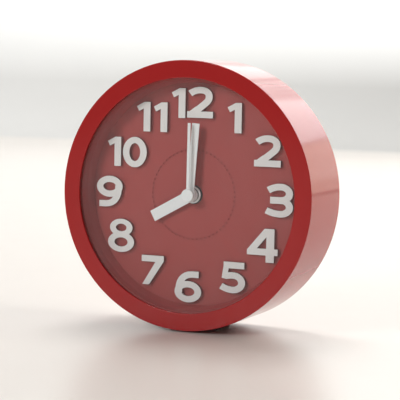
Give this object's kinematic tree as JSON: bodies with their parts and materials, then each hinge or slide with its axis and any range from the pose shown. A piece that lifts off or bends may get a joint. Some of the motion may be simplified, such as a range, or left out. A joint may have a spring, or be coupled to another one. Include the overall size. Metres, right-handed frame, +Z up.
{
  "type": "alarm clock",
  "caption": "Round desk alarm clock: flat red bezel, recessed dial behind a clear lens, raised upright numerals, flat hands, rear setting knobs and a battery quartz alarm movement.",
  "frame": {"origin": "on the resting plane, midway between the drum's sides and midway between the bezel's front face and the setting knobs' tips", "axes": "+Z up, the dial faces -Y, +X to the right as the dial is read; hands turn clockwise for positive angles about +Y"},
  "size_m": [0.1292, 0.043, 0.1298],
  "materials": {
    "case_red": "satin, moulded",
    "clear_lens": "clear, polished",
    "ring_red": "satin",
    "dial_red": "fine matt",
    "numeral_white": "white faces on red sides",
    "hand_white": "smooth white paint",
    "cover_red": "fine texture",
    "steel": "plated",
    "foot_rubber": "matt",
    "knob_red": "satin",
    "gear_natural": "unpigmented",
    "gear_grey": "smooth",
    "switch_black": "matt",
    "movement_grey": "matt",
    "rotor_grey": "smooth",
    "bobbin_black": "smooth",
    "copper": "enamelled winding",
    "board_green": "solder mask",
    "chip_black": "moulded",
    "buzzer_black": "matt",
    "cell_wrap": "shrink sleeve",
    "lead_red": "smooth",
    "lead_black": "smooth"
  },
  "bodies": {
    "case": {"front_case": "case_red", "lens": "clear_lens", "dial_ring": "ring_red", "dial_plate": "dial_red", "numeral_1": "numeral_white", "numeral_2": "numeral_white", "numeral_3": "numeral_white", "numeral_4": "numeral_white", "numeral_5": "numeral_white", "numeral_6": "numeral_white", "numeral_7": "numeral_white", "numeral_8": "numeral_white", "numeral_9": "numeral_white", "numeral_10_left": "numeral_white", "numeral_10_right": "numeral_white", "numeral_11_left": "numeral_white", "numeral_11_right": "numeral_white", "numeral_12_left": "numeral_white", "numeral_12_right": "numeral_white", "rear_cover": "cover_red", "case_screw_1": "steel", "case_screw_2": "steel", "case_screw_3": "steel", "case_screw_4": "steel", "foot_right": "foot_rubber", "foot_left": "foot_rubber", "movement_front_plate": "movement_grey", "movement_back_cover": "movement_grey", "stator": "steel", "coil_bobbin": "bobbin_black", "coil_winding": "copper", "circuit_board": "board_green", "driver_chip": "chip_black", "quartz_crystal": "steel", "buzzer": "buzzer_black", "battery": "cell_wrap", "battery_contact_positive": "steel", "battery_contact_negative": "steel", "battery_lead_positive": "lead_red", "battery_lead_negative": "lead_black"},
    "minute_hand_body": {"minute_hand": "hand_white", "centre_wheel": "gear_natural"},
    "hour_hand_body": {"hour_hand": "hand_white", "hour_wheel": "gear_natural"},
    "second_hand_body": {"second_hand": "hand_white", "second_wheel": "gear_natural"},
    "alarm_hand_body": {"alarm_hand": "hand_white", "alarm_wheel": "gear_grey"},
    "alarm_idler_body": {"alarm_idler": "gear_natural"},
    "alarm_set_body": {"alarm_set_knob": "knob_red", "alarm_set_arbor": "gear_natural"},
    "time_set_body": {"time_set_knob": "knob_red", "time_set_arbor": "gear_natural"},
    "motion_wheel_body": {"motion_wheel": "gear_natural"},
    "third_wheel_body": {"third_wheel": "gear_natural"},
    "fifth_wheel_body": {"fifth_wheel": "gear_natural"},
    "rotor_body": {"rotor": "rotor_grey"},
    "alarm_switch_body": {"alarm_switch": "switch_black"},
    "battery_door_body": {"battery_door": "cover_red"}
  },
  "joints": [
    {"name": "minute_hand_turn", "type": "hinge", "parent": "case", "child": "minute_hand_body", "pos_m": [0, 0, 0.0652], "axis": [0, 1, 0], "continuous": true},
    {"name": "hour_hand_turn", "type": "hinge", "parent": "case", "child": "hour_hand_body", "pos_m": [0, 0, 0.0652], "axis": [0, 1, 0], "continuous": true},
    {"name": "second_hand_turn", "type": "hinge", "parent": "case", "child": "second_hand_body", "pos_m": [0, 0, 0.0652], "axis": [0, 1, 0], "continuous": true},
    {"name": "motion_wheel_turn", "type": "hinge", "parent": "case", "child": "motion_wheel_body", "pos_m": [-0.0045, 0, 0.07299], "axis": [0, 1, 0], "continuous": true},
    {"name": "time_set_turn", "type": "hinge", "parent": "case", "child": "time_set_body", "pos_m": [-0.01229, 0, 0.07749], "axis": [0, 1, 0], "continuous": true},
    {"name": "third_wheel_turn", "type": "hinge", "parent": "case", "child": "third_wheel_body", "pos_m": [-0.00885, 0, 0.05901], "axis": [0, 1, 0], "continuous": true},
    {"name": "fifth_wheel_turn", "type": "hinge", "parent": "case", "child": "fifth_wheel_body", "pos_m": [0.00827, 0, 0.05826], "axis": [0, 1, 0], "continuous": true},
    {"name": "rotor_turn", "type": "hinge", "parent": "case", "child": "rotor_body", "pos_m": [0.01115, 0, 0.05327], "axis": [0, 1, 0], "continuous": true},
    {"name": "alarm_set_turn", "type": "hinge", "parent": "case", "child": "alarm_set_body", "pos_m": [0.01229, 0, 0.07749], "axis": [0, 1, 0], "continuous": true},
    {"name": "alarm_idler_turn", "type": "hinge", "parent": "case", "child": "alarm_idler_body", "pos_m": [0.01133, 0, 0.06915], "axis": [0, 1, 0], "continuous": true},
    {"name": "alarm_hand_turn", "type": "hinge", "parent": "case", "child": "alarm_hand_body", "pos_m": [0, 0, 0.0652], "axis": [0, 1, 0], "continuous": true},
    {"name": "alarm_switch_slide", "type": "slide", "parent": "case", "child": "alarm_switch_body", "axis": [1, 0, 0], "range_m": [0, 0.005]},
    {"name": "battery_door_pull", "type": "slide", "parent": "case", "child": "battery_door_body", "axis": [0, 1, 0], "range_m": [0, 0.02]}
  ],
  "couplings": [
    {"joint": "hour_hand_turn", "follows": "minute_hand_turn", "ratio": 0.083333},
    {"joint": "second_hand_turn", "follows": "minute_hand_turn", "ratio": 60},
    {"joint": "motion_wheel_turn", "follows": "minute_hand_turn", "ratio": -0.33333},
    {"joint": "time_set_turn", "follows": "minute_hand_turn", "ratio": 1},
    {"joint": "third_wheel_turn", "follows": "minute_hand_turn", "ratio": -8},
    {"joint": "fifth_wheel_turn", "follows": "minute_hand_turn", "ratio": -360},
    {"joint": "rotor_turn", "follows": "minute_hand_turn", "ratio": 1800},
    {"joint": "alarm_idler_turn", "follows": "alarm_set_turn", "ratio": -0.75},
    {"joint": "alarm_hand_turn", "follows": "alarm_set_turn", "ratio": 0.5}
  ]
}
